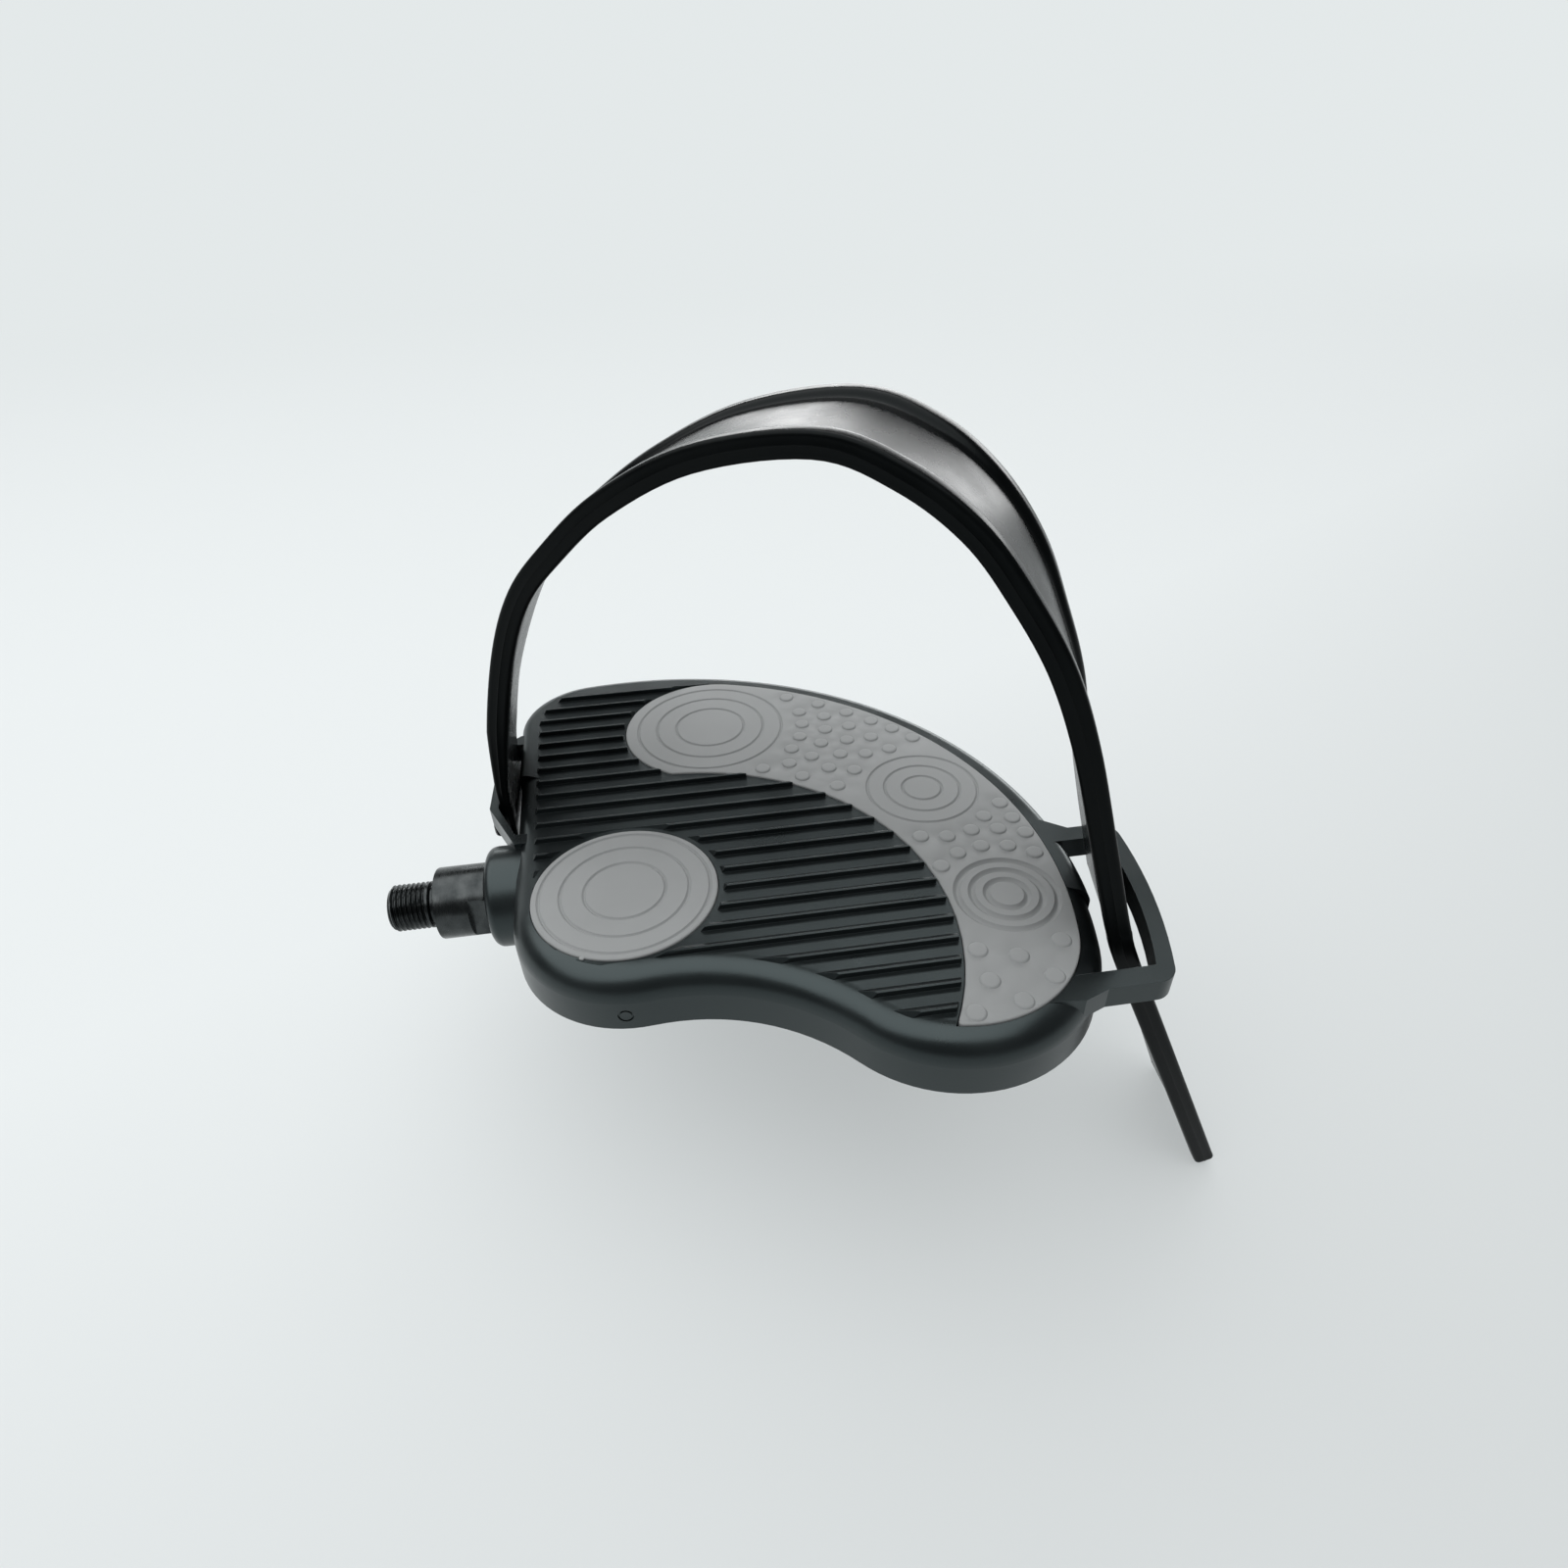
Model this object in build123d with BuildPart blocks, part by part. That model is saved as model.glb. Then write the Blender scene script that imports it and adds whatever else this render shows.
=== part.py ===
# Strap pedal for an exercise bike: a bean-shaped platform with two soft inserts
# and a moulded foot strap, turning on a spindle with two ball races.
# Millimetres. The origin is on the spindle's axis, at the shoulder that seats
# on the crank. +X runs along the spindle, away from the crank, +Y to the toe, +Z up.
import os
from math import atan2, cos, degrees, radians, sin, sqrt, tan

from build123d import *

# Platform outline, in plan: three round corners, a front arc, a rear waist and a straight inner side
inner_front_x = 42.5
inner_front_y = 61.1
inner_front_radius = 23.2
outer_rear_x = 128.2
outer_rear_y = -46.5
outer_rear_radius = 35.2
inner_rear_x = 53.5
inner_rear_y = -21.7
inner_rear_radius = 30.2
front_radius = 112.0
waist_radius = 54.0

# Platform section
top_height = 16.0
skirt_height = 15.5
skirt_wall = 2.8
deck_thickness = 4.2
edge_radius = 7.0
toe_edge_radius = 3.2
rim_width = 5.8
rib_thickness = 1.8
rib_pitch = 19.0
rib_recess = 1.5

# Tread ribs: upright on the heel side, sloping down on the toe side
tread_pitch = 6.61
tread_first = -71.7
tread_count = 23
tread_height = 1.5
tread_root = 0.4
tread_crest = 0.6
tread_base = 2.6
tread_inset = 5.6
tread_draft = 30.0
tread_land = 0.8
round_pad_land = 1.4

# Soft inserts
pad_depth = 2.0
pad_proud = 0.4
pad_gap = 0.2
pad_edge = 0.3
round_pad_shift_x = -1.7
round_pad_shift_y = 0.3
round_pad_radius = 23.3
lobe_angle = 72.1
lobe_radius = 26.2
notch_angle = -119.2
heel_angle = -103.6
inner_arc_radius = 68.0
ring_depth = 0.45
ring_width = 0.9
deep_ring_width = 1.5
flash_radius = 0.7
flash_angle = -115.0
dot_radius = 2.25
dot_height = 0.4
dot_slope = 45.0

# Rings and dots of the inserts. Ring radii are shares of the insert's half width.
# Places are shares of the way along the curved insert, from the lobe's notch to the heel, and across it.
lobe_ring_shares = (0.40, 0.63, 0.851)
mid_ring_share = (0.460, 0.513)
mid_ring_shares = (0.289, 0.551, 0.808)
heel_ring_share = (0.730, 0.490)
heel_ring_shares = (0.338, 0.581, 0.824)
round_ring_shares = (0.438, 0.691, 0.918)
dot_shares = [
    (0.217, 0.34), (0.217, 0.49), (0.209, 0.64), (0.194, 0.77), (0.185, 0.08), (0.165, 0.91),
    (0.259, 0.32), (0.257, 0.48), (0.248, 0.64), (0.234, 0.79), (0.214, 0.91), (0.229, 0.19),
    (0.302, 0.26), (0.300, 0.44), (0.292, 0.61), (0.278, 0.76), (0.260, 0.91), (0.269, 0.09),
    (0.344, 0.12), (0.344, 0.33), (0.336, 0.54), (0.321, 0.73), (0.301, 0.91),
    (0.359, 0.69), (0.336, 0.92), (0.372, 0.92),
    (0.663, 0.88), (0.638, 0.70), (0.623, 0.50), (0.622, 0.28), (0.641, 0.09),
    (0.623, 0.91), (0.600, 0.72), (0.585, 0.52), (0.579, 0.31), (0.556, 0.13),
    (0.590, 0.90), (0.568, 0.70), (0.556, 0.90), (0.844, 0.12), (0.853, 0.48), (0.824, 0.84),
    (0.905, 0.26), (0.885, 0.85), (0.933, 0.75), (0.974, 0.40),
]

# Strap
strap_width = 35.0
strap_foot_width = 30.0
strap_rim_width = 4.2
strap_rim_thickness = 5.5
strap_web_thickness = 2.2
strap_foot_thickness = 2.8
strap_inner_y = 36.2
strap_inner_gap = 2.5
strap_outer_gap = 6.2
strap_outer_shift = 2.5
strap_anchor_reach = 3.4
strap_anchor_depth = 5.0
strap_anchor_gap = 0.3
strap_foot_drop = 9.0
strap_tail_drop = 87.0
strap_tail_swing = 37.3
strap_tail_shift = -2.5
strap_tail_steps = 3
strap_steps = 2
# share of the way from foot to foot, rise above the deck, turn of the strap's width from +X
strap_arch = [
    (0.007, 8.0, 89.0),
    (0.037, 28.0, 86.5),
    (0.092, 51.1, 81.0),
    (0.150, 67.2, 76.0),
    (0.223, 79.3, 71.0),
    (0.317, 91.6, 66.0),
    (0.442, 102.4, 64.0),
    (0.590, 107.0, 64.0),
    (0.688, 102.2, 64.0),
    (0.765, 93.1, 66.5),
    (0.822, 81.1, 67.7),
    (0.868, 66.9, 72.1),
    (0.906, 50.6, 73.3),
    (0.940, 28.2, 77.2),
    (0.981, 3.3, 79.0),
]
strap_foot_rise = 28.0
strap_inner_turn = 90.0
strap_outer_turn = 80.5
strap_tail_turn = 87.7

# Strap loops, moulded on the platform
loop_thickness = 6.0
arm_width = 4.9
bar_width = 4.7
bar_bow = 2.2
outer_bow = 2.7
slot_margin = 4.6
outer_slot_near_gap = 0.0
outer_slot_far_gap = 10.5
bar_setback = 2.2
loop_corner = 5.0
flare_run = 4.5
flare_rise = 3.0
inner_bar_width = 2.4
inner_slot_gap = 0.4
inner_slot_margin = 0.9
inner_loop_taper = 17.0
inner_slot_taper = 13.0
inner_loop_drop = 1.0
mark_x = 50.5
mark_rise = 4.5
mark_radius = 1.9
mark_line = 0.5
mark_depth = 0.4

# Spindle
thread_radius = 6.35
thread_length = 12.8
thread_chamfer = 1.0
relief_radius = 5.3
relief_length = 1.6
pilot_length = 0.5
collar_radius = 9.75
collar_length = 8.9
collar_chamfer = 0.5
wrench_flats = 15.0
boss_gap = 0.3
journal_radius = 8.0
shaft_radius = 5.9
shaft_gap = 0.5
stud_radius = 5.0
stud_spare = 1.5

# Ball races, in the platform's barrel
ball_radius = 1.98
ball_count = 12
ball_ring_radius = 8.6
ball_gap = 0.05
inner_ball_x = 20.6
outer_ball_x = 102.0
race_seat = 4.4
race_mouth = 2.6
race_lip = 0.5
race_bore = 11.4
seal_gap = 0.05
seal_length = 2.0
seal_set = 0.3
barrel_radius = 13.75
barrel_bore = 8.4
boss_face_x = 14.0
boss_edge = 2.5
barrel_end_x = 121.0
cone_length = 7.0
cone_radius = 7.6
washer_length = 1.2
washer_radius = 7.8
nut_length = 4.8
nut_flats = 14.0
cap_room = 12.0
cap_disc = 1.8
cap_plug = 3.0
cap_wall = 1.4


def meet(first, first_reach, second, second_reach, side):
    # the point at a given reach from each of two points, left (1) or right (-1) of the line between them
    span = second - first
    along = (first_reach**2 - second_reach**2 + span.length**2) / (2 * span.length)
    across = side * sqrt(first_reach**2 - along**2)
    ahead = span.normalized()
    return first + ahead * along + Vector(-ahead.Y, ahead.X) * across


def touch(centre, other, radius):
    # where a circle about centre meets the line from there through the other centre
    return centre + (other - centre).normalized() * radius


def turned(centre, radius, angle):
    return centre + Vector(cos(radians(angle)), sin(radians(angle))) * radius


def arc(centre, radius, start, end):
    # an arc under half a turn about a known centre
    middle = (start - centre).normalized() + (end - centre).normalized()
    return ThreePointArc(start, centre + middle.normalized() * radius, end)


def bearing(centre, point):
    # the direction from one point to another, in degrees
    return degrees(atan2(point.Y - centre.Y, point.X - centre.X))


def reach(start, ahead, centre, radius):
    # how far a ray runs before it leaves a circle
    offset = start - centre
    lean = offset.dot(ahead)
    return sqrt(lean**2 - offset.length**2 + radius**2) - lean


def right_of(centre, radius, y):
    # the x of a circle's right side at a given y
    return centre.X + sqrt(radius**2 - (y - centre.Y) ** 2)


def eased(before, start, end, after, t):
    # a smooth run through four values, at t of the way between the middle two
    bend = before * 2 - start * 5 + end * 4 - after
    twist = start * 3 - before - end * 3 + after
    return start + (end - before) * (t / 2) + bend * (t**2 / 2) + twist * (t**3 / 2)


inner_front = Vector(inner_front_x, inner_front_y)
outer_rear = Vector(outer_rear_x, outer_rear_y)
inner_rear = Vector(inner_rear_x, inner_rear_y)
round_pad_centre = inner_rear + Vector(round_pad_shift_x, round_pad_shift_y)
front_centre = meet(
    inner_front, front_radius - inner_front_radius, outer_rear, front_radius - outer_rear_radius, -1
)
waist_centre = meet(
    inner_rear, waist_radius + inner_rear_radius, outer_rear, waist_radius + outer_rear_radius, -1
)
side_ahead = (inner_front - inner_rear).normalized()
side_tilt = (inner_rear_radius - inner_front_radius) / (inner_front - inner_rear).length
side_out = Vector(-side_ahead.Y, side_ahead.X) * sqrt(1 - side_tilt**2) + side_ahead * side_tilt
side_front = inner_front + side_out * inner_front_radius
side_rear = inner_rear + side_out * inner_rear_radius
lobe_centre = turned(front_centre, front_radius - rim_width - lobe_radius, lobe_angle)
lobe_notch = turned(lobe_centre, lobe_radius, notch_angle)
heel_end = turned(outer_rear, outer_rear_radius - rim_width, heel_angle)
inner_arc_centre = meet(lobe_notch, inner_arc_radius, heel_end, inner_arc_radius, -1)
notch_bearing = bearing(inner_arc_centre, lobe_notch)
heel_bearing = bearing(inner_arc_centre, heel_end)
corner_start = touch(front_centre, outer_rear, front_radius - rim_width)
corner_bearing = bearing(inner_arc_centre, corner_start)


def inner_wall(y):
    # the x of the platform's straight inner side at a given y
    return side_rear.X + (side_front.X - side_rear.X) * (y - side_rear.Y) / (side_front.Y - side_rear.Y)


def band_width(along):
    # the curved insert's width, at a share of the way from the lobe's notch to the heel
    angle = notch_bearing + (heel_bearing - notch_bearing) * along
    ahead = turned(Vector(0, 0), 1, angle)
    edge = reach(inner_arc_centre, ahead, front_centre, front_radius - rim_width)
    if angle < corner_bearing:
        edge = reach(inner_arc_centre, ahead, outer_rear, outer_rear_radius - rim_width)
    return edge - inner_arc_radius


def on_band(along, across):
    # a point of the curved insert, by its shares of the way along and across
    angle = notch_bearing + (heel_bearing - notch_bearing) * along
    return turned(inner_arc_centre, inner_arc_radius + band_width(along) * across, angle)


def platform_face(inset):
    # the platform's plan, with its edge moved inwards
    front = front_radius - inset
    waist = waist_radius + inset
    front_corner = inner_front_radius - inset
    rear_corner = inner_rear_radius - inset
    outer_corner = outer_rear_radius - inset
    side_end = inner_front + side_out * front_corner
    side_start = inner_rear + side_out * rear_corner
    front_start = touch(front_centre, inner_front, front)
    front_end = touch(front_centre, outer_rear, front)
    waist_start = touch(waist_centre, outer_rear, waist)
    waist_end = touch(waist_centre, inner_rear, waist)
    with BuildSketch(mode=Mode.PRIVATE) as face:
        with BuildLine():
            Line(side_start, side_end)
            arc(inner_front, front_corner, side_end, front_start)
            arc(front_centre, front, front_start, front_end)
            arc(outer_rear, outer_corner, front_end, waist_start)
            arc(waist_centre, waist, waist_start, waist_end)
            arc(inner_rear, rear_corner, waist_end, side_start)
        make_face()
    return face.sketch


def crescent_face(grow):
    # the curved insert's plan, with its edge moved outwards
    front = front_radius - rim_width + grow
    corner = outer_rear_radius - rim_width + grow
    lobe = lobe_radius + grow
    inner = inner_arc_radius - grow
    lobe_tip = touch(front_centre, lobe_centre, front)
    lobe_side = turned(lobe_centre, lobe, 180)
    front_end = touch(front_centre, outer_rear, front)
    heel_tip = meet(inner_arc_centre, inner, outer_rear, corner, -1)
    cusp = meet(inner_arc_centre, inner, lobe_centre, lobe, 1)
    with BuildSketch(mode=Mode.PRIVATE) as face:
        with BuildLine():
            arc(front_centre, front, lobe_tip, front_end)
            arc(outer_rear, corner, front_end, heel_tip)
            arc(inner_arc_centre, inner, heel_tip, cusp)
            arc(lobe_centre, lobe, cusp, lobe_side)
            arc(lobe_centre, lobe, lobe_side, lobe_tip)
        make_face()
    return face.sketch


outline = platform_face(0)
hollow = platform_face(skirt_wall)
field = platform_face(rim_width)
crescent_plan = crescent_face(0)
crescent_pocket = crescent_face(pad_gap)
tread_field = platform_face(tread_inset + tread_height * tan(radians(tread_draft)))
crescent_margin = crescent_face(tread_land)

# Ring groups on the inserts: centre, half width there, ring radii as shares of it, and line width
crescent_rings = [
    (lobe_centre, lobe_radius, lobe_ring_shares, ring_width),
    (on_band(*mid_ring_share), band_width(mid_ring_share[0]) / 2, mid_ring_shares, ring_width),
    (on_band(*heel_ring_share), band_width(heel_ring_share[0]) / 2, heel_ring_shares, deep_ring_width),
]
round_rings = [(round_pad_centre, round_pad_radius, round_ring_shares, ring_width)]
dot_places = [on_band(along, across) for along, across in dot_shares]

# Feet of the strap, beside the platform's walls
strap_inner_foot = Vector(inner_wall(strap_inner_y) - strap_inner_gap, strap_inner_y)
strap_outer_foot = outer_rear + Vector(outer_rear_radius + strap_outer_gap, strap_outer_shift)

# Levels of the platform and its inserts
skirt_bottom = top_height - skirt_height
deck_bottom = top_height - deck_thickness
pad_floor = top_height - pad_depth
pad_top = top_height + pad_proud
plan_middle = Vector((side_rear.X + front_centre.X + front_radius) / 2, 0)
plan_reach = 2 * front_radius
rib_lines = int(plan_reach / rib_pitch)

# Outer strap loop, about the strap's outer foot
outer_slot_low = strap_outer_foot.Y - strap_width / 2 - slot_margin
outer_slot_high = strap_outer_foot.Y + strap_width / 2 + slot_margin
outer_slot_near_x = strap_outer_foot.X + outer_slot_near_gap
loop_near = outer_slot_low - arm_width
loop_far = outer_slot_high + arm_width
near_root_x = right_of(outer_rear, outer_rear_radius, loop_near)
far_root_x = right_of(front_centre, front_radius, loop_far)
outer_slot_far_x = far_root_x + outer_slot_far_gap
loop_bottom = top_height - loop_thickness

# Inner strap loop, about the strap's inner foot
inner_slot_low = strap_inner_foot.Y - strap_foot_width / 2 - inner_slot_margin
inner_slot_high = strap_inner_foot.Y + strap_foot_width / 2 + inner_slot_margin
inner_slot_x = strap_inner_foot.X - strap_foot_thickness / 2 - inner_slot_gap
inner_bar_x = inner_slot_x - inner_bar_width
inner_loop_low = inner_slot_low - inner_loop_taper
inner_slot_tip = inner_slot_low - inner_slot_taper
inner_loop_high = inner_slot_high + arm_width
inner_loop_top = top_height - inner_loop_drop
inner_loop_bottom = inner_loop_top - loop_thickness

near_corner = Vector(outer_slot_near_x + bar_width - bar_setback, loop_near)
far_corner = Vector(outer_slot_far_x + bar_width, loop_far)
mark_drop = sqrt(inner_rear_radius**2 - (mark_x - inner_rear.X) ** 2)

# Races: a ball rides between a cone on the spindle and a cup in the barrel, each at 45 degrees
race_offset = (ball_radius + ball_gap) * sqrt(2)
inner_seat_x = inner_ball_x + race_seat
outer_seat_x = outer_ball_x - race_seat
inner_mouth_x = inner_ball_x - race_mouth
outer_mouth_x = outer_ball_x + race_mouth
cup_mouth_radius = race_bore - race_lip
inner_cup_sum = inner_ball_x + ball_ring_radius + race_offset
outer_cup_difference = outer_ball_x - ball_ring_radius - race_offset
inner_cone_sum = inner_ball_x + ball_ring_radius - race_offset
outer_cone_difference = outer_ball_x - ball_ring_radius + race_offset
neck_end_x = boss_face_x - boss_gap
cone_start_x = outer_cone_difference + stud_radius
washer_start_x = cone_start_x + cone_length
nut_start_x = washer_start_x + washer_length
stud_end_x = nut_start_x + nut_length + stud_spare


def across_spindle(x):
    # plane square to the spindle, its X along +Y and its normal along +X
    return Plane(origin=(x, 0, 0), x_dir=(0, 1, 0), z_dir=(1, 0, 0))


def ring_plane(centre):
    # upright plane through a ring group's centre, X outwards and Y up, at the insert's face
    return Plane(origin=(centre.X, centre.Y, pad_top), x_dir=(1, 0, 0), z_dir=(0, -1, 0))


# Tread: ribs along the spindle, clear of the rim and the inserts, with sloping ends
with BuildPart(mode=Mode.PRIVATE) as tread:
    with BuildSketch(across_spindle(plan_middle.X - plan_reach / 2)):
        for k in range(tread_count):
            heel_side = tread_first + tread_pitch * k
            with BuildLine():
                Polyline(
                    (heel_side, top_height - tread_root),
                    (heel_side, top_height + tread_height),
                    (heel_side + tread_crest, top_height + tread_height),
                    (heel_side + tread_base, top_height),
                    (heel_side + tread_base, top_height - tread_root),
                    close=True,
                )
            make_face()
    extrude(amount=plan_reach)
    with BuildSketch(Plane.XY.offset(top_height + tread_height)):
        add(tread_field)
    extrude(amount=-tread_height - tread_root, taper=-tread_draft, mode=Mode.INTERSECT)
    with BuildSketch(Plane.XY.offset(top_height)):
        with Locations(round_pad_centre):
            Circle(round_pad_radius + round_pad_land)
    extrude(amount=tread_height, taper=-tread_draft, mode=Mode.SUBTRACT)
    with BuildSketch(Plane.XY.offset(top_height)):
        add(crescent_margin)
    extrude(amount=tread_height, mode=Mode.SUBTRACT)

# Toe side of the platform, ahead of the strap, where the rim is less rounded
across_run = (strap_outer_foot - strap_inner_foot).normalized() * plan_reach
toe_reach = Vector(-across_run.Y, across_run.X)
with BuildPart(mode=Mode.PRIVATE) as toe_side:
    with BuildSketch(Plane.XY.offset(skirt_bottom)):
        add(outline)
    extrude(amount=skirt_height)
    fillet(toe_side.faces().sort_by(Axis.Z)[-1].edges(), toe_edge_radius)
    with BuildSketch(Plane.XY.offset(skirt_bottom)):
        with BuildLine():
            Polyline(
                strap_inner_foot - across_run,
                strap_outer_foot + across_run,
                strap_outer_foot + across_run + toe_reach,
                strap_inner_foot - across_run + toe_reach,
                close=True,
            )
        make_face()
    extrude(amount=skirt_height, mode=Mode.INTERSECT)

with BuildPart() as platform:
    with BuildSketch(Plane.XY.offset(skirt_bottom)):
        add(outline)
    extrude(amount=skirt_height)
    fillet(platform.faces().sort_by(Axis.Z)[-1].edges(), edge_radius)
    add(toe_side.part)
    with BuildSketch(Plane.XY.offset(skirt_bottom)):
        add(hollow)
    extrude(amount=skirt_height - deck_thickness, mode=Mode.SUBTRACT)
    # stiffening ribs under the deck
    with BuildSketch(Plane.XY.offset(skirt_bottom + rib_recess)):
        with Locations(plan_middle):
            with GridLocations(rib_pitch, rib_pitch, rib_lines, 1):
                Rectangle(rib_thickness, plan_reach)
            with GridLocations(rib_pitch, rib_pitch, 1, rib_lines):
                Rectangle(plan_reach, rib_thickness)
        add(hollow, mode=Mode.INTERSECT)
    extrude(amount=deck_bottom - skirt_bottom - rib_recess)
    # outer strap loop, flared into the wall
    with BuildSketch(Plane.XY.offset(loop_bottom)) as outer_loop:
        with BuildLine():
            SagittaArc(near_corner, far_corner, -outer_bow)
            Polyline(
                far_corner,
                (far_root_x + flare_rise, loop_far),
                (far_root_x - flare_rise, loop_far + flare_run),
                (outer_rear.X, loop_far),
                (outer_rear.X, loop_near),
                (near_root_x - flare_rise, loop_near - flare_run / 2),
                (near_root_x + flare_rise, loop_near),
                near_corner,
            )
        make_face()
        loop_points = outer_loop.vertices()
        corners = [loop_points.sort_by_distance(corner)[0] for corner in (near_corner, far_corner)]
        fillet(corners, loop_corner)
        with BuildLine():
            SagittaArc((outer_slot_near_x, outer_slot_low), (outer_slot_far_x, outer_slot_high), -bar_bow)
            Polyline(
                (outer_slot_far_x, outer_slot_high),
                (outer_rear.X, outer_slot_high),
                (outer_rear.X, outer_slot_low),
                (outer_slot_near_x, outer_slot_low),
            )
        make_face(mode=Mode.SUBTRACT)
        add(field, mode=Mode.SUBTRACT)
    extrude(amount=loop_thickness)
    # inner strap loop, bowed out from the straight side
    with BuildSketch(Plane.XY.offset(inner_loop_bottom)):
        with BuildLine():
            Polyline(
                (inner_wall(inner_loop_low), inner_loop_low),
                (inner_bar_x, inner_slot_low),
                (inner_bar_x, inner_slot_high),
                (inner_wall(inner_loop_high), inner_loop_high),
                (inner_front.X, inner_loop_high),
                (inner_front.X, inner_loop_low),
                close=True,
            )
        make_face()
        with BuildLine():
            Polyline(
                (inner_wall(inner_slot_tip), inner_slot_tip),
                (inner_slot_x, inner_slot_low),
                (inner_slot_x, inner_slot_high),
                (inner_front.X, inner_slot_high),
                (inner_front.X, inner_slot_tip),
                close=True,
            )
        make_face(mode=Mode.SUBTRACT)
        add(field, mode=Mode.SUBTRACT)
    extrude(amount=loop_thickness)
    # barrel for the races, its boss standing out of the inner side
    with BuildSketch(across_spindle(boss_face_x)):
        Circle(barrel_radius)
    extrude(amount=barrel_end_x - boss_face_x)
    fillet(platform.edges().filter_by(GeomType.CIRCLE).sort_by(Axis.X)[0], boss_edge)
    with BuildSketch(across_spindle(boss_face_x)):
        Circle(race_bore)
    extrude(amount=inner_seat_x - boss_face_x, mode=Mode.SUBTRACT)
    with BuildSketch(across_spindle(inner_seat_x)):
        Circle(barrel_bore)
    extrude(amount=outer_seat_x - inner_seat_x, mode=Mode.SUBTRACT)
    with BuildSketch(across_spindle(outer_seat_x)):
        Circle(race_bore)
    extrude(amount=barrel_end_x + cap_room - outer_seat_x, mode=Mode.SUBTRACT)
    add(tread.part)
    # pockets for the inserts
    with BuildSketch(Plane.XY.offset(top_height)):
        add(crescent_pocket)
        with Locations(round_pad_centre):
            Circle(round_pad_radius + pad_gap)
    extrude(amount=-pad_depth, mode=Mode.SUBTRACT)
    # round moulding mark on the skirt
    with BuildSketch(
        Plane(
            origin=(mark_x, inner_rear.Y - mark_drop, skirt_bottom + mark_rise),
            x_dir=(mark_drop, mark_x - inner_rear.X, 0),
            z_dir=(mark_x - inner_rear.X, -mark_drop, 0),
        )
    ):
        Circle(mark_radius)
        Circle(mark_radius - mark_line, mode=Mode.SUBTRACT)
    extrude(amount=-mark_depth, mode=Mode.SUBTRACT)

with BuildPart() as crescent_pad:
    with BuildSketch(Plane.XY.offset(pad_floor)):
        add(crescent_plan)
    extrude(amount=pad_top - pad_floor)
    chamfer(crescent_pad.faces().sort_by(Axis.Z)[-1].edges(), pad_edge)
    for centre, half, shares, width in crescent_rings:
        with BuildSketch(ring_plane(centre)):
            for share in shares:
                radius = half * share
                with BuildLine():
                    Polyline(
                        (radius - width / 2, 0),
                        (radius, -ring_depth),
                        (radius + width / 2, 0),
                        close=True,
                    )
                make_face()
        revolve(axis=Axis(centre, (0, 0, 1)), mode=Mode.SUBTRACT)
    with BuildSketch(Plane.XY.offset(pad_top)):
        with Locations(*dot_places):
            Circle(dot_radius)
    extrude(amount=dot_height, taper=dot_slope)

with BuildPart() as round_pad:
    with BuildSketch(Plane.XY.offset(pad_floor)):
        with Locations(round_pad_centre):
            Circle(round_pad_radius)
    extrude(amount=pad_top - pad_floor)
    chamfer(round_pad.faces().sort_by(Axis.Z)[-1].edges(), pad_edge)
    for centre, half, shares, width in round_rings:
        with BuildSketch(ring_plane(centre)):
            for share in shares:
                radius = half * share
                with BuildLine():
                    Polyline(
                        (radius - width / 2, 0),
                        (radius, -ring_depth),
                        (radius + width / 2, 0),
                        close=True,
                    )
                make_face()
        revolve(axis=Axis(centre, (0, 0, 1)), mode=Mode.SUBTRACT)
    # moulding flash on the rim
    with BuildSketch(Plane.XY.offset(top_height)):
        with Locations(turned(round_pad_centre, round_pad_radius, flash_angle)):
            Circle(flash_radius)
    extrude(amount=pad_proud)

# Strap: stations along its middle line, each with the turn of its width
anchor_top = inner_loop_bottom - strap_anchor_gap
anchor_bottom = anchor_top - strap_anchor_depth
foot_bottom = anchor_top - strap_foot_drop
strap_run = strap_outer_foot - strap_inner_foot
strap_marks = [
    (Vector(strap_inner_foot.X, strap_inner_foot.Y, height), strap_inner_turn)
    for height in (foot_bottom, inner_loop_bottom, top_height)
]
for share, rise, turn in strap_arch:
    place = strap_inner_foot + strap_run * share
    strap_marks.append((Vector(place.X, place.Y, top_height + rise), turn))
for step in range(strap_tail_steps + 1):
    share = step / strap_tail_steps
    swing = Vector(strap_tail_swing, strap_tail_shift, -strap_tail_drop) * share
    turn = strap_outer_turn + (strap_tail_turn - strap_outer_turn) * share
    strap_marks.append((Vector(strap_outer_foot.X, strap_outer_foot.Y, loop_bottom) + swing, turn))

strap_line = []
for k in range(len(strap_marks) - 1):
    four = [strap_marks[min(max(k + j, 0), len(strap_marks) - 1)] for j in (-1, 0, 1, 2)]
    for step in range(strap_steps):
        strap_line.append([eased(*values, step / strap_steps) for values in zip(*four)])
strap_line.append(strap_marks[-1])

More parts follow.
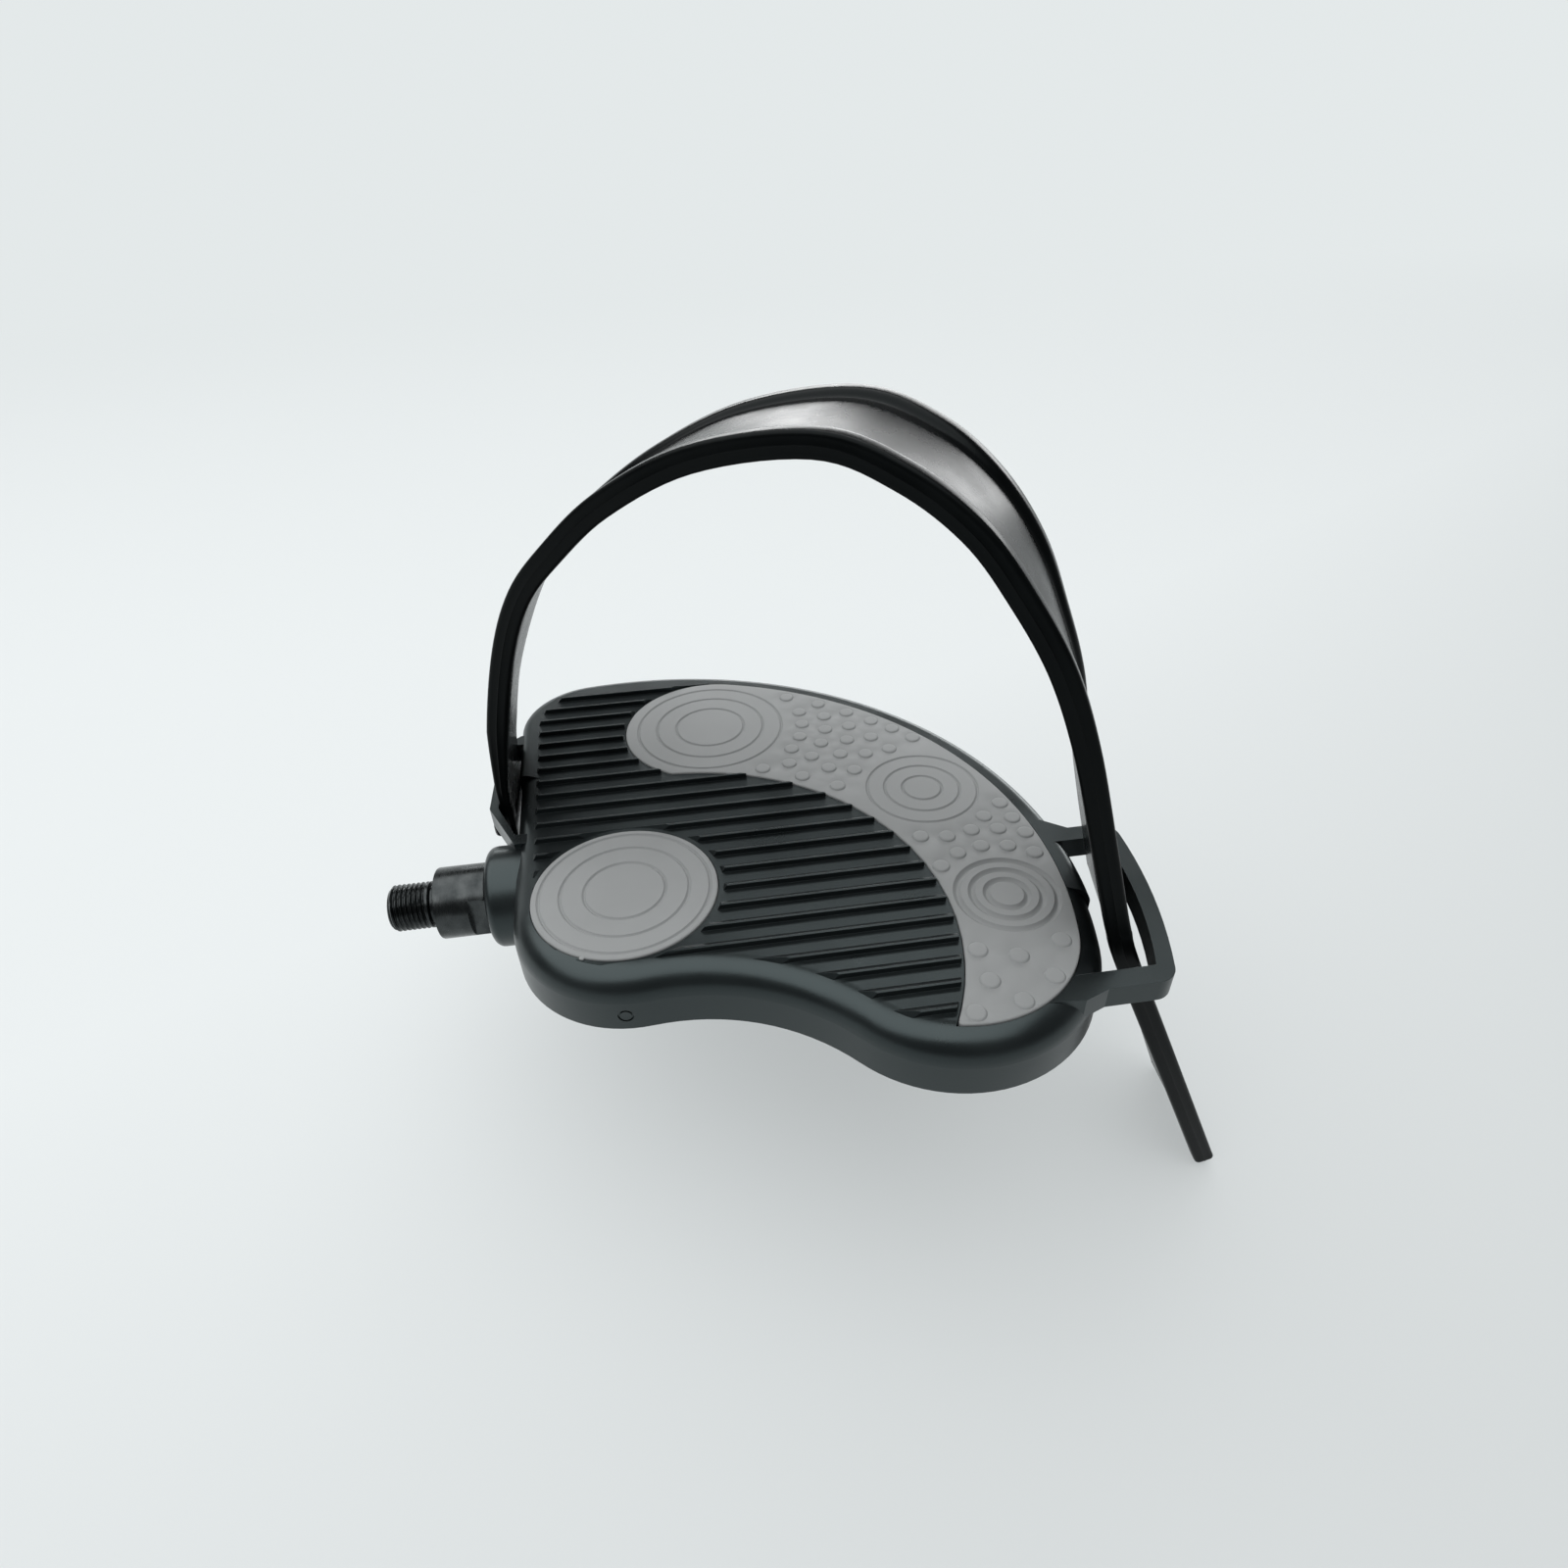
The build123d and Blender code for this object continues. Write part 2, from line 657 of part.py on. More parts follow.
with BuildPart() as strap:
    for k, (place, turn) in enumerate(strap_line):
        ahead = strap_line[min(k + 1, len(strap_line) - 1)][0] - strap_line[max(k - 1, 0)][0]
        ahead = ahead.normalized()
        across = Vector(cos(radians(turn)), sin(radians(turn)), 0)
        across = (across - ahead * across.dot(ahead)).normalized()
        # the inner foot is narrower and flatter than the rest
        swell = 1.0
        if k < len(strap_line) / 2:
            swell = min(1.0, max(0.0, (place.Z - top_height) / strap_foot_rise))
        half = (strap_foot_width + (strap_width - strap_foot_width) * swell) / 2
        rim = (strap_foot_thickness + (strap_rim_thickness - strap_foot_thickness) * swell) / 2
        web = strap_web_thickness / 2
        step_in = half - strap_rim_width
        # the near bead stands out on both faces, the far one on the outer face alone
        with BuildSketch(Plane(origin=place, x_dir=across, z_dir=ahead)):
            with BuildLine():
                Polyline(
                    (-half, -rim),
                    (-step_in, -rim),
                    (-step_in + rim - web, -web),
                    (half, -web),
                    (half, rim),
                    (step_in, rim),
                    (step_in - rim + web, web),
                    (-step_in + rim - web, web),
                    (-step_in, rim),
                    (-half, rim),
                    close=True,
                )
            make_face()
    loft(ruled=True)
    # anchor bar that hooks under the inner loop
    with BuildSketch(Plane.XY.offset(anchor_bottom)):
        with Locations((strap_inner_foot.X + strap_foot_thickness / 2, strap_inner_foot.Y)):
            Rectangle(
                strap_foot_thickness + strap_anchor_reach, strap_foot_width, align=(Align.MAX, Align.CENTER)
            )
    extrude(amount=strap_anchor_depth)

with BuildPart() as spindle:
    with BuildSketch():
        with BuildLine():
            Polyline(
                (-thread_length, 0),
                (-thread_length, thread_radius - thread_chamfer),
                (-thread_length + thread_chamfer, thread_radius),
                (-pilot_length - relief_length, thread_radius),
                (-pilot_length - relief_length, relief_radius),
                (-pilot_length, relief_radius),
                (-pilot_length, thread_radius),
                (0, thread_radius),
                (0, collar_radius - collar_chamfer),
                (collar_chamfer, collar_radius),
                (neck_end_x, collar_radius),
                (neck_end_x, journal_radius),
                (inner_cone_sum - journal_radius, journal_radius),
                (inner_cone_sum - shaft_radius, shaft_radius),
                (cone_start_x - shaft_gap, shaft_radius),
                (cone_start_x - shaft_gap, stud_radius),
                (stud_end_x, stud_radius),
                (stud_end_x, 0),
                close=True,
            )
        make_face()
    revolve(axis=Axis.X)
    with BuildSketch(across_spindle(collar_length)):
        Circle(2 * collar_radius)
        Rectangle(wrench_flats, 4 * collar_radius, mode=Mode.SUBTRACT)
    extrude(amount=neck_end_x - collar_length, mode=Mode.SUBTRACT)

with BuildPart() as dust_seal:
    with BuildSketch(across_spindle(boss_face_x + seal_set)):
        Circle(race_bore)
        Circle(journal_radius + seal_gap, mode=Mode.SUBTRACT)
    extrude(amount=seal_length)

with BuildPart() as inner_cup:
    with BuildSketch():
        with BuildLine():
            Polyline(
                (inner_mouth_x, race_bore),
                (inner_mouth_x, cup_mouth_radius),
                (inner_cup_sum - cup_mouth_radius, cup_mouth_radius),
                (inner_cup_sum - barrel_bore, barrel_bore),
                (inner_seat_x, barrel_bore),
                (inner_seat_x, race_bore),
                close=True,
            )
        make_face()
    revolve(axis=Axis.X)

with BuildPart() as outer_cup:
    with BuildSketch():
        with BuildLine():
            Polyline(
                (outer_mouth_x, race_bore),
                (outer_mouth_x, cup_mouth_radius),
                (outer_cup_difference + cup_mouth_radius, cup_mouth_radius),
                (outer_cup_difference + barrel_bore, barrel_bore),
                (outer_seat_x, barrel_bore),
                (outer_seat_x, race_bore),
                close=True,
            )
        make_face()
    revolve(axis=Axis.X)

with BuildPart(across_spindle(inner_ball_x)) as inner_balls:
    with PolarLocations(ball_ring_radius, ball_count):
        Sphere(ball_radius)

with BuildPart(across_spindle(outer_ball_x)) as outer_balls:
    with PolarLocations(ball_ring_radius, ball_count):
        Sphere(ball_radius)

with BuildPart() as adjusting_cone:
    with BuildSketch():
        with BuildLine():
            Polyline(
                (cone_start_x, stud_radius),
                (outer_cone_difference + cone_radius, cone_radius),
                (washer_start_x, cone_radius),
                (washer_start_x, stud_radius),
                close=True,
            )
        make_face()
    revolve(axis=Axis.X)

with BuildPart() as tab_washer:
    with BuildSketch(across_spindle(washer_start_x)):
        Circle(washer_radius)
        Circle(stud_radius, mode=Mode.SUBTRACT)
    extrude(amount=washer_length)

with BuildPart() as lock_nut:
    with BuildSketch(across_spindle(nut_start_x)):
        RegularPolygon(nut_flats / 2, 6, major_radius=False)
        Circle(stud_radius, mode=Mode.SUBTRACT)
    extrude(amount=nut_length)

with BuildPart() as dust_cap:
    with BuildSketch(across_spindle(barrel_end_x)):
        Circle(race_bore)
    extrude(amount=-cap_disc)
    with BuildSketch(across_spindle(barrel_end_x - cap_disc)):
        Circle(race_bore)
        Circle(race_bore - cap_wall, mode=Mode.SUBTRACT)
    extrude(amount=-cap_plug)

platform.part.label = "platform"
crescent_pad.part.label = "crescent_pad"
round_pad.part.label = "round_pad"
strap.part.label = "strap"
spindle.part.label = "spindle"
dust_seal.part.label = "dust_seal"
inner_cup.part.label = "inner_cup"
inner_balls.part.label = "inner_balls"
outer_cup.part.label = "outer_cup"
outer_balls.part.label = "outer_balls"
adjusting_cone.part.label = "adjusting_cone"
tab_washer.part.label = "tab_washer"
lock_nut.part.label = "lock_nut"
dust_cap.part.label = "dust_cap"

os.makedirs("parts", exist_ok=True)
export_step(platform.part, "parts/platform.step")
export_step(crescent_pad.part, "parts/crescent_pad.step")
export_step(round_pad.part, "parts/round_pad.step")
export_step(strap.part, "parts/strap.step")
export_step(spindle.part, "parts/spindle.step")
export_step(dust_seal.part, "parts/dust_seal.step")
export_step(inner_cup.part, "parts/inner_cup.step")
export_step(inner_balls.part, "parts/inner_balls.step")
export_step(outer_cup.part, "parts/outer_cup.step")
export_step(outer_balls.part, "parts/outer_balls.step")
export_step(adjusting_cone.part, "parts/adjusting_cone.step")
export_step(tab_washer.part, "parts/tab_washer.step")
export_step(lock_nut.part, "parts/lock_nut.step")
export_step(dust_cap.part, "parts/dust_cap.step")
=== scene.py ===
from math import acos, ceil, cos, pi, radians, sin, sqrt

import bmesh
import bpy
from mathutils import Matrix, Vector
from mathutils.geometry import delaunay_2d_cdt


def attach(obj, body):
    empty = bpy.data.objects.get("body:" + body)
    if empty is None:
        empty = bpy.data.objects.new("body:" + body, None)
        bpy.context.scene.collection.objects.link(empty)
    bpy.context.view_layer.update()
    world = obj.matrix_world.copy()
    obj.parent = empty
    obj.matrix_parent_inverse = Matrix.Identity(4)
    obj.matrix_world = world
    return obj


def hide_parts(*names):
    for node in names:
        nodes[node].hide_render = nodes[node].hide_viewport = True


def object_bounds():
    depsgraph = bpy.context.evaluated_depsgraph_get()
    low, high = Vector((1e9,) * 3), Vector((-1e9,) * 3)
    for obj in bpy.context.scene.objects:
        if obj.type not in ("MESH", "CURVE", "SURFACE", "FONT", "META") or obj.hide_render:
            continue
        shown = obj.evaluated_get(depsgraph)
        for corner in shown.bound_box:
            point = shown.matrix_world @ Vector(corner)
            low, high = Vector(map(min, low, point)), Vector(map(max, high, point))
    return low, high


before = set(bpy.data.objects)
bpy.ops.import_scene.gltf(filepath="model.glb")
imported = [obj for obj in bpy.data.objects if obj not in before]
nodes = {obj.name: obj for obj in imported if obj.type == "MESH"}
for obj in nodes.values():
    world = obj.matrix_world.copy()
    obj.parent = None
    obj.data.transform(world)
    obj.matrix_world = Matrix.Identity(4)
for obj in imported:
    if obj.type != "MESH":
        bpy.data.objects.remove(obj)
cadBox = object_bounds()
mm = 0.001  # shapes below are written in millimetres, the scene is in metres
deckTop = 16.0
weldGap, sliverGap = 0.002, 0.001  # points closer than this are one, shorter edges go
print("frame loaded:", len(nodes), "nodes")


# small helpers

def makePiece(name, verts, faces, body, slot, replaces=(), sharp=40, finishes=None):
    mesh = bpy.data.meshes.new(name)
    mesh.from_pydata([Vector(v) * mm for v in verts], [], faces)
    if finishes:
        mesh.polygons.foreach_set("material_index", finishes)
    mesh.validate()
    bm = bmesh.new()
    bm.from_mesh(mesh)
    bmesh.ops.remove_doubles(bm, verts=bm.verts, dist=weldGap * mm)
    bmesh.ops.dissolve_degenerate(bm, edges=bm.edges, dist=sliverGap * mm)
    bmesh.ops.recalc_face_normals(bm, faces=bm.faces)
    bm.to_mesh(mesh)
    bm.free()
    mesh.polygons.foreach_set("use_smooth", [True] * len(mesh.polygons))
    mesh.set_sharp_from_angle(angle=radians(sharp))
    piece = bpy.data.objects.new(name, mesh)
    bpy.context.scene.collection.objects.link(piece)
    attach(piece, body)
    if replaces:
        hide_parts(*replaces)
    return piece


def skin(faces, rings, count):
    # quads between rings of vertices that start at the given indices
    for first, second in zip(rings, rings[1:]):
        for k in range(count):
            j = (k + 1) % count
            faces.append((first + k, first + j, second + j, second + k))


def cap(faces, start, count, flip=False):
    ring = range(start, start + count)
    faces.append(tuple(reversed(ring)) if flip else tuple(ring))


def wear(piece, *finishes):
    marks = [face.material_index for face in piece.data.polygons]
    piece.data.materials.clear()
    for finish in finishes:
        piece.data.materials.append(finish)
    piece.data.polygons.foreach_set("material_index", [min(mark, len(finishes) - 1) for mark in marks])


# finishes

def startFinish(name, colour, rough, metal=0.0, specular=0.5, sheen=(1, 1, 1)):
    finish = bpy.data.materials.new(name)
    finish.use_nodes = True
    shader = finish.node_tree.nodes["Principled BSDF"]
    shader.inputs["Base Color"].default_value = (*colour, 1)
    shader.inputs["Roughness"].default_value = rough
    shader.inputs["Metallic"].default_value = metal
    shader.inputs["Specular IOR Level"].default_value = specular
    shader.inputs["Specular Tint"].default_value = (*sheen, 1)
    return finish, finish.node_tree, shader


def noiseOn(tree, scale, detail, stretch=(1, 1, 1)):
    place = tree.nodes.new("ShaderNodeTexCoord")
    turn = tree.nodes.new("ShaderNodeMapping")
    turn.inputs["Scale"].default_value = stretch
    noise = tree.nodes.new("ShaderNodeTexNoise")
    noise.inputs["Scale"].default_value = scale
    noise.inputs["Detail"].default_value = detail
    tree.links.new(place.outputs["Object"], turn.inputs["Vector"])
    tree.links.new(turn.outputs["Vector"], noise.inputs["Vector"])
    return noise.outputs["Fac"]


def spread(tree, source, low, high, start=0.3, end=0.7):
    # a texture's middle range, spread from low to high
    node = tree.nodes.new("ShaderNodeMapRange")
    node.inputs["From Min"].default_value = start
    node.inputs["From Max"].default_value = end
    node.inputs["To Min"].default_value = low
    node.inputs["To Max"].default_value = high
    tree.links.new(source, node.inputs["Value"])
    return node.outputs["Result"]


def tint(tree, source, first, second):
    node = tree.nodes.new("ShaderNodeMix")
    node.data_type = "RGBA"
    node.inputs["A"].default_value = (*first, 1)
    node.inputs["B"].default_value = (*second, 1)
    tree.links.new(source, node.inputs["Factor"])
    return node.outputs["Result"]


def bumpOn(tree, shader, source, strength, distance, edge=0.0):
    bump = tree.nodes.new("ShaderNodeBump")
    bump.inputs["Strength"].default_value = strength
    bump.inputs["Distance"].default_value = distance * mm
    tree.links.new(source, bump.inputs["Height"])
    if edge:
        soft = tree.nodes.new("ShaderNodeBevel")
        soft.samples = 6
        soft.inputs["Radius"].default_value = edge * mm
        tree.links.new(soft.outputs["Normal"], bump.inputs["Normal"])
    tree.links.new(bump.outputs["Normal"], shader.inputs["Normal"])


def mouldedFinish(name, look):
    finish, tree, shader = startFinish(name, look["dark"], look["rough"][0], specular=look["specular"],
                                       sheen=look["sheen"])
    patch = noiseOn(tree, look["patch"], look["patchDetail"])
    grain = noiseOn(tree, look["grain"], look["grainDetail"])
    colour = tint(tree, spread(tree, patch, 0, 1), look["dark"], look["pale"])
    tree.links.new(colour, shader.inputs["Base Color"])
    tree.links.new(spread(tree, patch, *look["rough"]), shader.inputs["Roughness"])
    bumpOn(tree, shader, grain, *look["bump"], look["edge"])
    return finish


# bump is strength and depth, edge is how far the edges are eased
mouldedLook = {
    "dark": (0.0045, 0.0055, 0.0058), "pale": (0.0075, 0.0088, 0.0092), "rough": (0.27, 0.36),
    "specular": 0.6, "sheen": (0.80, 0.98, 1.0), "patch": 60.0, "patchDetail": 4, "grain": 2600.0,
    "grainDetail": 2, "bump": (0.28, 0.05), "edge": 0.1,
}
platformBlack = mouldedFinish("platformBlack", mouldedLook)
capBlack = mouldedFinish("capBlack", dict(mouldedLook, edge=0.2))

insertLook = {
    "dark": (0.255, 0.265, 0.265), "pale": (0.285, 0.295, 0.296), "rough": (0.62, 0.74),
    "specular": 0.4, "sheen": (1.0, 1.0, 1.0), "patch": 45.0, "patchDetail": 5, "grain": 3200.0,
    "grainDetail": 2, "bump": (0.18, 0.04), "edge": 0.0,
}
padGrey = mouldedFinish("padGrey", insertLook)

strapLook = {
    "dark": (0.0012, 0.0016, 0.0017), "pale": (0.0026, 0.0032, 0.0033), "rough": (0.22, 0.32),
    "specular": 0.12, "sheen": (0.88, 0.98, 1.0), "patch": 90.0, "patchDetail": 5, "grain": 1900.0,
    "grainDetail": 2, "bump": (0.10, 0.03), "edge": 0.0,
}
strapBlack = mouldedFinish("strapBlack", strapLook)
strapSide = mouldedFinish("strapSide", dict(strapLook, rough=(0.32, 0.42), specular=0.09))
sealBlack = mouldedFinish("sealBlack", dict(strapLook, rough=(0.5, 0.6)))

steelLook = {
    "oxide": (0.030, 0.034, 0.035), "worn": (0.074, 0.080, 0.081), "rough": (0.22, 0.34), "patch": 220.0,
    "patchDetail": 4, "turning": 900.0, "turningDetail": 2, "stretch": (6, 0.4, 0.4), "bump": (0.12, 0.02),
}


def turnedSteel(name, look):
    finish, tree, shader = startFinish(name, look["oxide"], look["rough"][0], metal=1.0)
    patch = noiseOn(tree, look["patch"], look["patchDetail"])
    turning = noiseOn(tree, look["turning"], look["turningDetail"], look["stretch"])  # fine marks round the axis
    colour = tint(tree, spread(tree, patch, 0, 1), look["oxide"], look["worn"])
    tree.links.new(colour, shader.inputs["Base Color"])
    tree.links.new(spread(tree, turning, *look["rough"]), shader.inputs["Roughness"])
    bumpOn(tree, shader, turning, *look["bump"])
    return finish


raceLook = dict(steelLook, oxide=(0.36, 0.36, 0.37), worn=(0.48, 0.48, 0.49), rough=(0.16, 0.3),
                patch=300.0, turning=1200.0)
ballLook = dict(steelLook, oxide=(0.56, 0.56, 0.57), worn=(0.62, 0.62, 0.63), rough=(0.06, 0.1), patch=500.0)
spindleOxide = turnedSteel("spindleOxide", steelLook)
raceSteel = turnedSteel("raceSteel", raceLook)
ballSteel = turnedSteel("ballSteel", ballLook)

cadFinishes = {
    "platform": platformBlack, "dust_cap": capBlack, "dust_seal": sealBlack,
    "inner_cup": raceSteel, "outer_cup": raceSteel, "adjusting_cone": raceSteel,
    "tab_washer": raceSteel, "lock_nut": raceSteel, "inner_balls": ballSteel, "outer_balls": ballSteel,
}
for node, finish in cadFinishes.items():
    wear(nodes[node], finish)
print("finishes ready")


# strap: a moulded band with a bead along each edge

strapShape = {
    "width": 35.0, "footWidth": 30.0, "rimWidth": 4.2, "rim": 5.5, "web": 2.2, "foot": 2.8,
    "innerFoot": (17.97, 36.2), "outerFoot": (169.6, -44.0), "footRise": 28.0, "footDrop": 9.0,
    "loopBottom": 10.0, "tail": (37.3, -2.5, -87.0), "tailSteps": 3, "steps": 7,
    "innerTurn": 90.0, "outerTurn": 80.5, "tailTurn": 87.7,
    "beadRound": 1.7, "beadEase": 0.8, "beadSlope": 1.4, "rootRound": 0.9, "sideBand": 0.7,
    "seam": 0.12, "seamHalf": 0.22, "endRound": 2.4, "endSteps": 8, "endFlat": 0.06,
    "anchorReach": 3.4, "anchorDepth": 5.0, "anchorTop": 8.7, "anchorStep": 0.3,
    "anchorRound": (1.6, 1.6, 0.4, 1.2),
    "anchorEase": [(0, 0.8), (0.5, 0.97), (1.2, 1)],  # distance from the bar's end, size of the section there
    # share of the way from foot to foot, rise over the deck, turn of the width
    "arch": [(0.007, 8.0, 89.0), (0.037, 28.0, 86.5), (0.092, 51.1, 81.0), (0.150, 67.2, 76.0),
             (0.223, 79.3, 71.0), (0.317, 91.6, 66.0), (0.442, 102.4, 64.0), (0.590, 107.0, 64.0),
             (0.688, 102.2, 64.0), (0.765, 93.1, 66.5), (0.822, 81.1, 67.7), (0.868, 66.9, 72.1),
             (0.906, 50.6, 73.3), (0.940, 28.2, 77.2), (0.981, 3.3, 79.0)],
}


def eased(before, start, end, after, t):
    # smooth curve from start to end, through the values on either side
    bend = before * 2 - start * 5 + end * 4 - after
    twist = start * 3 - before - end * 3 + after
    return start + (end - before) * (t / 2) + bend * (t**2 / 2) + twist * (t**3 / 2)


def cornerCurve(start, corner, end, steps=4):
    shares = [step / steps for step in range(steps + 1)]
    return [start * (1 - t)**2 + corner * (2 * t * (1 - t)) + end * t**2 for t in shares]


def rounded(corners):
    # outline with each corner (x, y, radius) turned by a short curve
    points = []
    for k, (x, y, radius) in enumerate(corners):
        here = Vector((x, y))
        back = Vector(corners[k - 1][:2]) - here
        on = Vector(corners[(k + 1) % len(corners)][:2]) - here
        if radius <= 0:
            points.append(here)
            continue
        reach = min(radius, back.length * 0.48, on.length * 0.48)  # two curves share a short side
        points += cornerCurve(here + back.normalized() * reach, here, here + on.normalized() * reach)
    return points


def bandSection(half, rim, web, shape):
    # bead, web, bead: the far bead stands out on the outer face alone, a fine mould seam runs along both
    inner = half - shape["rimWidth"]
    slope = min(rim - web, shape["beadSlope"])
    bead, root = shape["beadRound"], shape["rootRound"]
    inset = bead * shape["beadEase"]
    lip, seam = shape["seamHalf"], shape["seam"]
    whole = [(inner - slope, web, root), (inner, rim, inset), (half, rim, bead),
             (half, lip, 0), (half + seam, 0, 0), (half, -lip, 0),
             (half, -rim, bead), (inner, -rim, inset), (inner - slope, -web, root)]
    far = whole[:6] + [(half, -web, root)]
    near = [(-x, -y, radius) for x, y, radius in whole]
    return rounded(far + near)


def strapLine(shape):
    foot = Vector(shape["innerFoot"])
    run = Vector(shape["outerFoot"]) - foot
    top = shape["anchorTop"]
    marks = []
    for height in (top - shape["footDrop"], top + shape["anchorStep"], deckTop):
        marks.append((Vector((*foot, height)), shape["innerTurn"]))
    for share, rise, turn in shape["arch"]:
        marks.append((Vector((*(foot + run * share), deckTop + rise)), turn))
    for step in range(shape["tailSteps"] + 1):
        share = step / shape["tailSteps"]
        place = Vector((*shape["outerFoot"], shape["loopBottom"])) + Vector(shape["tail"]) * share
        marks.append((place, shape["outerTurn"] + (shape["tailTurn"] - shape["outerTurn"]) * share))
    line = []
    for k in range(len(marks) - 1):
        four = [marks[min(max(k + j, 0), len(marks) - 1)] for j in (-1, 0, 1, 2)]
        for step in range(shape["steps"]):
            line.append([eased(*values, step / shape["steps"]) for values in zip(*four)])
    # closer stations where the tail's end rounds off
    end = marks[-1][0]
    ahead = (end - line[-1][0]).normalized()
    for k in range(shape["endSteps"]):
        gap = shape["endRound"] * (1 - sin(pi / 2 * k / (shape["endSteps"] - 1)))
        line.append([end - ahead * gap, shape["tailTurn"]])
    return line


def addAnchor(verts, faces, shape):
    # bar that hooks under the inner loop
    top, depth = shape["anchorTop"], shape["anchorDepth"]
    x1 = shape["innerFoot"][0] + shape["foot"] / 2
    x0 = x1 - shape["foot"] - shape["anchorReach"]
    corners = [(x0, top - depth), (x1, top - depth), (x1, top), (x0, top)]
    outline = rounded([(*corner, radius) for corner, radius in zip(corners, shape["anchorRound"])])
    middle = Vector(((x0 + x1) / 2, top - depth / 2))
    y0 = shape["innerFoot"][1] - shape["footWidth"] / 2
    y1 = shape["innerFoot"][1] + shape["footWidth"] / 2
    stations = [(y0 + inset, scale) for inset, scale in shape["anchorEase"]]
    stations += [(y1 - inset, scale) for inset, scale in reversed(shape["anchorEase"])]
    rings = []
    for y, scale in stations:
        rings.append(len(verts))
        for point in outline:
            x, z = middle + (point - middle) * scale
            verts.append((x, y, z))
    skin(faces, rings, len(outline))
    cap(faces, rings[0], len(outline), flip=True)
    cap(faces, rings[-1], len(outline))


def makeStrap(shape):
    line = strapLine(shape)
    endStart = len(line) - shape["endSteps"]
    endRound = shape["endRound"]
    verts, faces, rings = [], [], []
    for k, (place, turn) in enumerate(line):
        if k < endStart:
            ahead = line[k + 1][0] - line[max(k - 1, 0)][0]
            left = endRound
        else:
            ahead = line[-1][0] - line[endStart - 1][0]
            left = (line[-1][0] - place).length
        ahead.normalize()
        across = Vector((cos(radians(turn)), sin(radians(turn)), 0))
        across = (across - ahead * across.dot(ahead)).normalized()
        out = ahead.cross(across)
        swell = 1.0  # the band widens and its beads grow above the inner foot
        if k < len(line) / 2:
            swell = min(1.0, max(0.0, (place.z - deckTop) / shape["footRise"]))
        half = (shape["footWidth"] + (shape["width"] - shape["footWidth"]) * swell) / 2
        rim = (shape["foot"] + (shape["rim"] - shape["foot"]) * swell) / 2
        points = bandSection(half, rim, shape["web"] / 2, shape)
        shrink = endRound - sqrt(max(0.0, endRound**2 - (endRound - left)**2))
        flat = max(shape["endFlat"], 1 - shrink / endRound)
        rings.append(len(verts))
        for u, w in points:
            u = u * (half - shrink) / half
            verts.append(place + across * u + out * w * flat)
    count = len(points)
    skin(faces, rings, count)
    # the sides of the beads are duller than the rest
    beadSides = []
    for k in range(count):
        middle = (points[k] + points[(k + 1) % count]) / 2
        beadSides.append(int(abs(middle.x) > half - shape["sideBand"]))
    finishes = beadSides * (len(rings) - 1)
    cap(faces, rings[0], count, flip=True)
    cap(faces, rings[-1], count)
    addAnchor(verts, faces, shape)
    finishes += [0] * (len(faces) - len(finishes))
    piece = makePiece("foot_strap", verts, faces, "pedal", "strap", ["strap"], finishes=finishes)
    wear(piece, strapBlack, strapSide)
    return piece


footStrap = makeStrap(strapShape)
print("strap:", len(footStrap.data.polygons), "faces")


# inserts: a flat top with ring grooves and low domes, rounded at the rim

padShape = {
    "floor": deckTop - 2.0, "top": deckTop + 0.4, "edge": 0.45, "edgeSteps": 4, "rim": 5.8, "spacing": 0.9,
    "frontRadius": 112.0, "frontCentre": (53.927, -26.962),
    "outerRear": (128.2, -46.5), "outerRadius": 35.2, "lobeAngle": 72.1, "lobeRadius": 26.2,
    "innerCentre": (62.093, -41.607), "innerRadius": 68.0, "heelRound": 1.6, "heelClear": 1.3,
    "roundCentre": (51.8, -21.4), "roundRadius": 23.3, "roundSteps": 144,
    "flashAngle": -115.0, "flashRadius": 0.7, "flashSteps": 20,
    "flashSide": [(1, 0.02), (1, 0.2), (0.8, 0.36), (0.4, 0.4)],  # share of the radius, rise over the deck
    "midRings": (135.2, 6.56), "heelRings": (144.49, -38.8), "heelDots": (144.38, -37.97),
    "ringCut": (1.0, 0.45), "deepCut": (1.9, 0.85),  # width and depth of the grooves
    "grooveSide": (-1, -0.7, -0.35, 0, 0.35, 0.7, 1), "grooveRound": 1.5,
    "dotRadius": 2.25, "heelDotRadius": 2.35, "dotHeight": 0.42, "dotSteps": 28,
    "dotSide": [(1.08, 0), (1.02, -0.16), (0.97, 0.05), (0.91, 0.66), (0.84, 0.86), (0.72, 0.95), (0.4, 0.99)],
}


def onCircle(centre, radius, angle):
    return Vector(centre) + Vector((cos(radians(angle)), sin(radians(angle)))) * radius


def circle(centre, radius, count):
    return [onCircle(centre, radius, 360 * k / count) for k in range(count)]


def circleMeet(first, firstReach, second, secondReach, side):
    # where two circles cross, to the left (1) or the right (-1) of the line between their centres
    span = second - first
    along = (firstReach**2 - secondReach**2 + span.length**2) / (2 * span.length)
    across = side * sqrt(firstReach**2 - along**2)
    ahead = span.normalized()
    return first + ahead * along + Vector((-ahead.y, ahead.x)) * across


def arcPoints(centre, start, end, spacing):
    # from start up to, but not with, end, the short way round
    a, b = start - centre, end - centre
    turn = a.angle_signed(b)
    count = max(2, ceil(a.length * abs(turn) / spacing))
    return [centre + Matrix.Rotation(-turn * k / count, 2) @ a for k in range(count)]


def touchPoint(centre, other, radius):
    # point of a circle that faces another centre
    return centre + (other - centre).normalized() * radius


lobeReach = padShape["frontRadius"] - padShape["rim"] - padShape["lobeRadius"]
lobeCentre = onCircle(padShape["frontCentre"], lobeReach, padShape["lobeAngle"])


